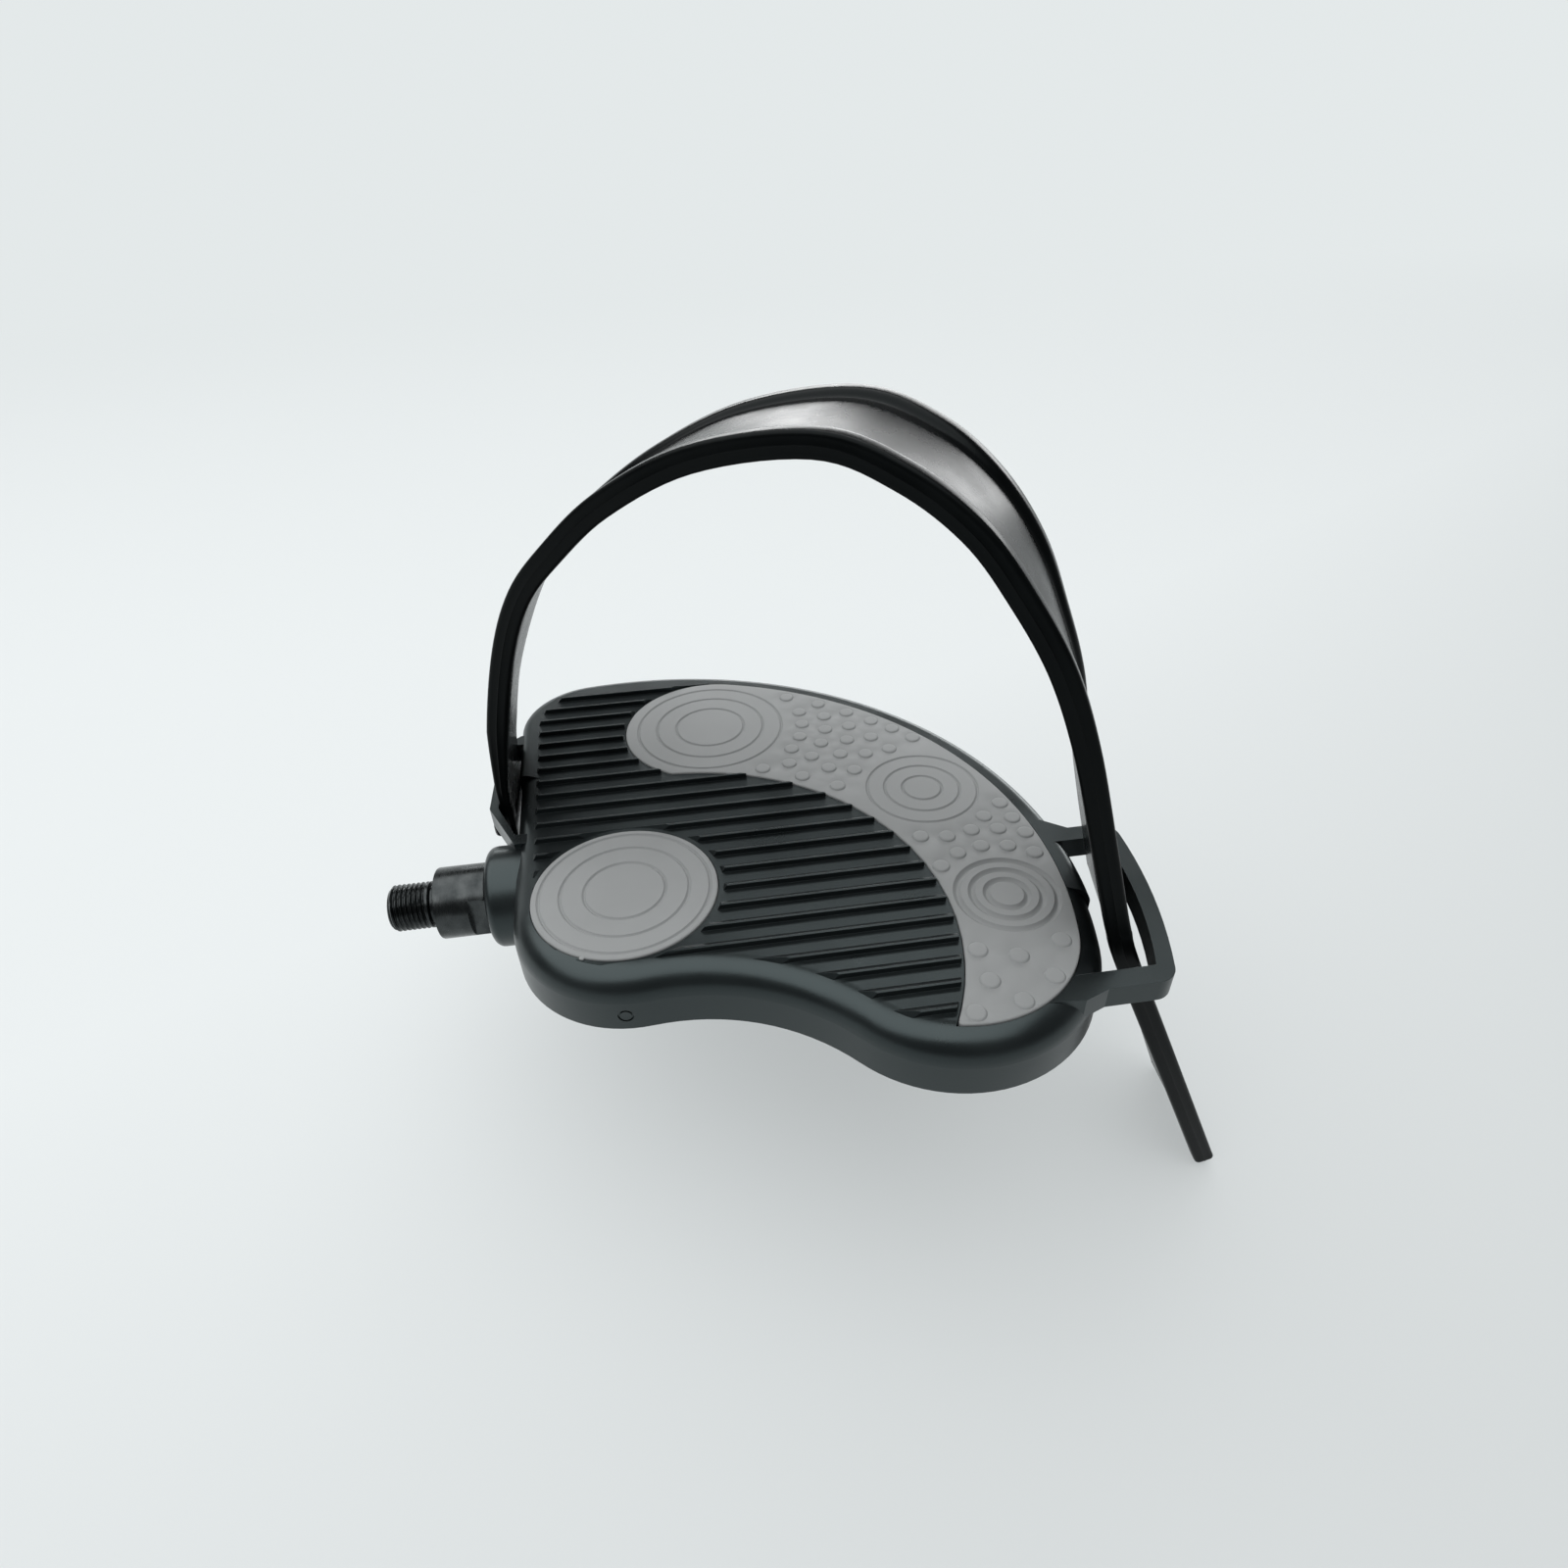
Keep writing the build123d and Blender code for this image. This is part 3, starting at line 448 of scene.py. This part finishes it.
def crescentOutline(shape, grow):
    frontCentre, outerRear = Vector(shape["frontCentre"]), Vector(shape["outerRear"])
    innerCentre = Vector(shape["innerCentre"])
    spacing, ease = shape["spacing"], shape["heelRound"]
    front = shape["frontRadius"] - shape["rim"] + grow
    corner = shape["outerRadius"] - shape["rim"] + grow
    lobe = shape["lobeRadius"] + grow
    inner = shape["innerRadius"] - grow
    lobeTip = touchPoint(frontCentre, lobeCentre, front)
    lobeSide = onCircle(lobeCentre, lobe, 180)
    frontEnd = touchPoint(frontCentre, outerRear, front)
    heelTip = circleMeet(innerCentre, inner, outerRear, corner, -1)
    cusp = circleMeet(innerCentre, inner, lobeCentre, lobe, 1)
    before = arcPoints(frontCentre, lobeTip, frontEnd, spacing) + arcPoints(outerRear, frontEnd, heelTip, spacing)
    after = arcPoints(innerCentre, heelTip, cusp, spacing)
    # the heel's tip is eased off
    start = heelTip + (before[-1] - heelTip).normalized() * ease
    end = heelTip + (after[1] - heelTip).normalized() * ease
    tip = cornerCurve(start, heelTip, end)
    before = [p for p in before if (p - heelTip).length > ease * shape["heelClear"]]
    after = [p for p in after if (p - heelTip).length > ease * shape["heelClear"]]
    lobeArcs = arcPoints(lobeCentre, cusp, lobeSide, spacing) + arcPoints(lobeCentre, lobeSide, lobeTip, spacing)
    return before + tip + after + lobeArcs


def roundOutline(shape, grow):
    return circle(shape["roundCentre"], shape["roundRadius"] + grow, shape["roundSteps"])


def makePad(outlineAt, rings, dots, shape):
    points, heights, edges = [], [], []

    def addLoop(loop, height):
        start = len(points)
        for k, point in enumerate(loop):
            points.append(point)
            heights.append(height)
            edges.append((start + k, start + (k + 1) % len(loop)))

    top, edge = shape["top"], shape["edge"]
    for step in range(shape["edgeSteps"] + 1):
        a = pi / 2 * step / shape["edgeSteps"]
        addLoop(outlineAt(shape, -edge * (1 - cos(a))), top - edge * (1 - sin(a)))
    for centre, radii, (width, depth) in rings:
        for radius in radii:
            for share in shape["grooveSide"]:
                around = radius + share * width / 2
                drop = depth * (1 - share * share)**shape["grooveRound"]
                addLoop(circle(centre, around, ceil(2 * pi * around / shape["spacing"])), top - drop)
    for centre, around in dots:
        for share, rise in shape["dotSide"]:
            addLoop(circle(centre, around * share, shape["dotSteps"]), top + shape["dotHeight"] * rise)
        points.append(Vector(centre))
        heights.append(top + shape["dotHeight"])
    keepInside, mergeGap = 1, 1e-5
    flat, _, faces, sources, _, _ = delaunay_2d_cdt(points, edges, [], keepInside, mergeGap)
    verts = []
    for point, source in zip(flat, sources):
        verts.append((point.x, point.y, heights[source[0]] if source else top))
    # side wall and floor
    outline = outlineAt(shape, 0)
    start, count = len(verts), len(outline)
    for height in (top - edge, shape["floor"]):
        verts += [(p.x, p.y, height) for p in outline]
    skin(faces, (start, start + count), count)
    cap(faces, start + count, count, flip=True)
    return verts, faces


def addFlash(verts, faces, shape):
    # nub of moulding flash on the round insert's rim
    centre = onCircle(shape["roundCentre"], shape["roundRadius"], shape["flashAngle"])
    count = shape["flashSteps"]
    rings = []
    for share, rise in shape["flashSide"]:
        rings.append(len(verts))
        verts += [(p.x, p.y, deckTop + rise) for p in circle(centre, shape["flashRadius"] * share, count)]
    skin(faces, rings, count)
    cap(faces, rings[0], count, flip=True)
    cap(faces, rings[-1], count)


# rings: centre, radii and cut
crescentRings = [
    (lobeCentre, (10.5, 16.5, 22.3), padShape["ringCut"]),
    (padShape["midRings"], (5.5, 10.5, 15.4), padShape["ringCut"]),
    (padShape["heelRings"], (4.98, 8.56, 12.15), padShape["deepCut"]),
]
roundRings = [(padShape["roundCentre"], (10.2, 16.1, 21.4), padShape["ringCut"])]
# rows of dots: centre, radius, first angle, step and count
dotRows = [
    (lobeCentre, 28.8, -36.0, 14.0, 4), (lobeCentre, 28.8, -62.0, 88.0, 2), (lobeCentre, 36.0, -37.4, 12.0, 5),
    (lobeCentre, 32.4, -48.4, 0.0, 1), (lobeCentre, 43.3, -41.2, 10.3, 5), (lobeCentre, 39.6, -52.0, 0.0, 1),
    (lobeCentre, 50.3, -48.3, 10.3, 5), (lobeCentre, 56.5, -23.1, 11.2, 2), (lobeCentre, 62.8, -16.4, 0.0, 1),
    (padShape["heelDots"], 17.3, 46.4, 23.0, 5), (padShape["heelDots"], 24.0, 59.0, 17.0, 4),
    (padShape["heelDots"], 28.1, 122.4, 0.0, 1), (padShape["heelDots"], 29.2, 67.9, 14.7, 2),
    (padShape["heelDots"], 35.2, 73.8, 0.0, 1),
]
heelSpots = [
    (131.83, -55.57), (140.46, -58.8), (151.61, -55.78), (131.73, -64.8), (146.15, -65.86), (137.06, -71.42),
    (126.0, -72.9),
]
dotPlaces = [(onCircle(centre, radius, first + step * k), padShape["dotRadius"])
             for centre, radius, first, step, count in dotRows for k in range(count)]
dotPlaces += [(Vector(spot), padShape["heelDotRadius"]) for spot in heelSpots]
crescentMesh = makePad(crescentOutline, crescentRings, dotPlaces, padShape)
roundMesh = makePad(roundOutline, roundRings, [], padShape)
addFlash(*roundMesh, padShape)
crescentPad = makePiece("crescent_insert", *crescentMesh, "pedal", "insert", ["crescent_pad"])
roundPad = makePiece("round_insert", *roundMesh, "pedal", "insert", ["round_pad"])
for pad in (crescentPad, roundPad):
    wear(pad, padGrey)
print("inserts:", len(crescentPad.data.polygons), "and", len(roundPad.data.polygons), "faces")


# spindle: turned in one piece, with a cut thread and two wrench flats

spindleShape = {
    "threadRadius": 6.35, "threadLength": 12.8, "chamfer": 1.0, "pitch": 1.27, "threadDepth": 0.62,
    "crestGain": 1.25, "crestFlat": 0.12, "turnSteps": 12, "runOut": 0.35, "runOutDrop": 0.15,
    "reliefRadius": 5.3, "relief": 1.6, "pilot": 0.5, "pilotEase": 0.2, "pilotDrop": (0.3, 0.1),
    "collarRadius": 9.75, "collarChamfer": 0.5, "collarEase": 0.3, "edgeBreak": 0.3,
    "flatsStart": 8.9, "flatsEnd": 13.7, "flats": 15.0, "flatSteps": 20, "roundSteps": 28,
    "journal": 8.0, "shaft": 5.9, "stud": 5.0, "coneStart": 18.33, "coneEnd": 20.43, "shaftEnd": 100.77,
    "end": 115.77, "endChamfer": 0.6, "drillDepth": 0.02,
}


def threadAt(x, a, start, stop, shape):
    # radius of the cut thread at a place along and round the axis
    phase = ((x - start) / shape["pitch"] - a / (2 * pi)) % 1.0
    depth = abs(2 * phase - 1)  # 0 at the crest, 1 at the root
    depth = min(1.0, max(0.0, depth * shape["crestGain"] - shape["crestFlat"]))
    fade = min(1.0, (stop - x) / shape["pitch"])
    outer = min(shape["threadRadius"], shape["threadRadius"] - shape["chamfer"] + (x - start))
    return min(outer, shape["threadRadius"] - shape["threadDepth"] * depth * fade)


def makeSpindle(shape):
    half = shape["flats"] / 2
    thread, relief, collar = shape["threadRadius"], shape["reliefRadius"], shape["collarRadius"]
    corner = acos(half / collar)  # where a flat meets the collar, measured from +Y
    angles = []
    for side in (0, pi):
        angles += [side - corner + 2 * corner * k / shape["flatSteps"] for k in range(shape["flatSteps"])]
        angles += [side + corner + (pi - 2 * corner) * k / shape["roundSteps"] for k in range(shape["roundSteps"])]
    count = len(angles)
    verts, rings = [], []

    def addRing(x, radii, flat=False):
        rings.append(len(verts))
        for a, radius in zip(angles, radii):
            y, z = radius * cos(a), radius * sin(a)
            if flat:
                y = min(half, max(-half, y))
            verts.append((x, y, z))

    start = -shape["threadLength"]
    stop = -shape["pilot"] - shape["relief"]
    addRing(start, [thread - shape["chamfer"]] * count)
    steps = ceil((stop - start) / shape["pitch"] * shape["turnSteps"])
    for k in range(1, steps):
        x = start + (stop - start) * k / steps
        addRing(x, [threadAt(x, a, start, stop, shape) for a in angles])
    chamfer, ease, small = shape["collarChamfer"], shape["collarEase"], shape["edgeBreak"]
    flatsStart, flatsEnd = shape["flatsStart"], shape["flatsEnd"]
    firstDrop, lastDrop = shape["pilotDrop"]
    neck = [(stop, thread - shape["runOutDrop"]), (stop + shape["runOut"], relief), (-shape["pilot"], relief),
            (-shape["pilotEase"], thread - firstDrop), (0, thread - lastDrop), (0, collar - chamfer),
            (chamfer * ease, collar - chamfer * ease), (chamfer, collar), (flatsStart, collar)]
    wrench = [(flatsStart, collar), (flatsEnd - small, collar), (flatsEnd, collar - small),
              (flatsEnd, shape["journal"])]
    inside = [(flatsEnd, shape["journal"]), (shape["coneStart"], shape["journal"]),
              (shape["coneEnd"], shape["shaft"]), (shape["shaftEnd"], shape["shaft"]),
              (shape["shaftEnd"], shape["stud"]), (shape["end"] - shape["endChamfer"], shape["stud"]),
              (shape["end"], shape["stud"] - shape["endChamfer"])]
    for profile in (neck, wrench, inside):
        for x, radius in profile:
            addRing(x, [radius] * count, flat=profile is wrench)
    faces = []
    skin(faces, rings, count)
    # centre-drilled end on the crank side
    verts.append((start + shape["drillDepth"], 0, 0))
    for k in range(count):
        faces.append((rings[0] + (k + 1) % count, rings[0] + k, len(verts) - 1))
    cap(faces, rings[-1], count)
    return makePiece("spindle_turned", verts, faces, "axle", "spindle", ["spindle"], sharp=32)


spindlePiece = makeSpindle(spindleShape)
wear(spindlePiece, spindleOxide)
print("spindle:", len(spindlePiece.data.polygons), "faces")


# camera at the photograph's place and angle, its focal length in pixels of a frame this wide

cameraView = {
    "place": (72.4, -195.4, 174.0), "pitch": 36.62, "roll": 2.21, "yaw": 6.69,
    "focal": 944, "frameWidth": 1600, "sensor": 36, "clip": (0.01, 50),
}


def makeCamera(view):
    pitch, roll, yaw = (radians(view[key]) for key in ("pitch", "roll", "yaw"))
    side = Vector((cos(yaw), -sin(yaw), 0))
    ahead = Vector((cos(pitch) * sin(yaw), cos(pitch) * cos(yaw), -sin(pitch)))
    down = Vector((-sin(pitch) * sin(yaw), -sin(pitch) * cos(yaw), -cos(pitch)))
    imageRight = side * cos(roll) + down * sin(roll)
    imageDown = down * cos(roll) - side * sin(roll)
    data = bpy.data.cameras.new("photoCamera")
    data.lens = view["focal"] / view["frameWidth"] * view["sensor"]
    data.sensor_width = view["sensor"]
    data.clip_start, data.clip_end = view["clip"]
    camera = bpy.data.objects.new("photoCamera", data)
    turn = Matrix((imageRight, -imageDown, -ahead)).transposed()
    camera.matrix_world = Matrix.Translation(Vector(view["place"]) * mm) @ turn.to_4x4()
    bpy.context.scene.collection.objects.link(camera)
    bpy.context.scene.camera = camera


makeCamera(cameraView)


# pale sweep under and behind the pedal, in metres

sweepShape = {
    "drop": 0.0006, "near": -2.6, "back": 2.4, "bend": 1.2, "bendSteps": 16, "height": 1.4, "side": 4.0,
    "colour": (0.745, 0.775, 0.78), "rough": 0.9, "specular": 0.1,
    # painted shade: a darker floor colour, faded in towards the camera and the right
    "paintedShade": (0.50, 0.52, 0.522), "fade": (-0.28, 0.10), "lean": -28.0,  # dimmer colour, where it fades in, its turn
    "glow": (0.775, 0.815, 0.82), "share": (0.50, 1.0), "plain": (0.3, 1.5),  # glow near and far, and from where
}


def makeSweep(shape):
    floor = cadBox[0][2] - shape["drop"]
    line = [(shape["near"], floor)]
    for k in range(shape["bendSteps"] + 1):
        a = pi / 2 * k / shape["bendSteps"]
        line.append((shape["back"] + shape["bend"] * sin(a), floor + shape["bend"] * (1 - cos(a))))
    line.append((shape["back"] + shape["bend"], floor + shape["height"]))
    verts = [(side * shape["side"], y, z) for side in (-1, 1) for y, z in line]
    faces = [(k, k + 1, len(line) + k + 1, len(line) + k) for k in range(len(line) - 1)]
    mesh = bpy.data.meshes.new("studio_sweep")
    mesh.from_pydata(verts, [], faces)
    mesh.polygons.foreach_set("use_smooth", [True] * len(mesh.polygons))
    sweep = bpy.data.objects.new("studio_sweep", mesh)
    bpy.context.scene.collection.objects.link(sweep)
    wear(sweep, paleSweep(shape))


def paleSweep(shape):
    finish, tree, shader = startFinish("sweepPale", shape["colour"], shape["rough"], specular=shape["specular"])
    # painted shade: the floor's colour is a little darker towards the camera and the right
    place = tree.nodes.new("ShaderNodeTexCoord")
    turn = tree.nodes.new("ShaderNodeMapping")
    turn.inputs["Rotation"].default_value = (0, 0, radians(shape["lean"]))
    tree.links.new(place.outputs["Object"], turn.inputs["Vector"])
    leaning = tree.nodes.new("ShaderNodeSeparateXYZ")
    tree.links.new(turn.outputs["Vector"], leaning.inputs["Vector"])
    pale = spread(tree, leaning.outputs["Y"], 0, 1, *shape["fade"])
    tree.links.new(tint(tree, pale, shape["paintedShade"], shape["colour"]), shader.inputs["Base Color"])

    def combine(operation, first, second):
        node = tree.nodes.new("ShaderNodeMath")
        node.operation = operation
        tree.links.new(first, node.inputs[0])
        tree.links.new(second, node.inputs[1])
        return node.outputs[0]

    # what the camera and reflections see is part plain glow, the rest keeps the shadow
    rays = tree.nodes.new("ShaderNodeLightPath")
    seen = combine("MAXIMUM", rays.outputs["Is Camera Ray"], rays.outputs["Is Glossy Ray"])
    seen = combine("MAXIMUM", seen, rays.outputs["Is Transmission Ray"])
    # the far part is plainer than the floor round the pedal
    axes = tree.nodes.new("ShaderNodeSeparateXYZ")
    tree.links.new(place.outputs["Object"], axes.inputs["Vector"])
    part = combine("MULTIPLY", seen, spread(tree, axes.outputs["Y"], *shape["share"], *shape["plain"]))
    glow = tree.nodes.new("ShaderNodeEmission")
    glow.inputs["Color"].default_value = (*shape["glow"], 1)
    both = tree.nodes.new("ShaderNodeMixShader")
    tree.links.new(part, both.inputs[0])
    tree.links.new(shader.outputs["BSDF"], both.inputs[1])
    tree.links.new(glow.outputs["Emission"], both.inputs[2])
    tree.links.new(both.outputs["Shader"], tree.nodes["Material Output"].inputs["Surface"])
    return finish


makeSweep(sweepShape)


# light: a big soft box overhead, a long low one at the back, a dim room

lightPlan = {
    "top": {"place": (-0.5, 0.1, 1.6), "aim": (-0.35, 0.1, 0.0), "size": (3.0, 3.3), "power": 63.0},
    "back": {"place": (1.1, 3.1, 0.66), "aim": (0.3, 0.0, 0.05), "size": (5.4, 0.9), "power": 66.0},
}
roomLight = {"colour": (0.93, 0.97, 1.0), "strength": 0.13}


def makeLights(plan, room):
    for name, lamp in plan.items():
        data = bpy.data.lights.new(name + "Light", "AREA")
        data.shape = "RECTANGLE"
        data.size, data.size_y = lamp["size"]
        data.energy = lamp["power"]
        light = bpy.data.objects.new(name + "Light", data)
        light.location = lamp["place"]
        towards = Vector(lamp["aim"]) - Vector(lamp["place"])
        light.rotation_euler = towards.to_track_quat("-Z", "Y").to_euler()
        light.visible_camera = False
        bpy.context.scene.collection.objects.link(light)
    world = bpy.data.worlds.new("studioRoom")
    world.use_nodes = True
    back = world.node_tree.nodes["Background"]
    back.inputs["Color"].default_value = (*room["colour"], 1)
    back.inputs["Strength"].default_value = room["strength"]
    bpy.context.scene.world = world


makeLights(lightPlan, roomLight)
bpy.context.scene.view_settings.view_transform = "Standard"
print("camera, sweep and lights ready")
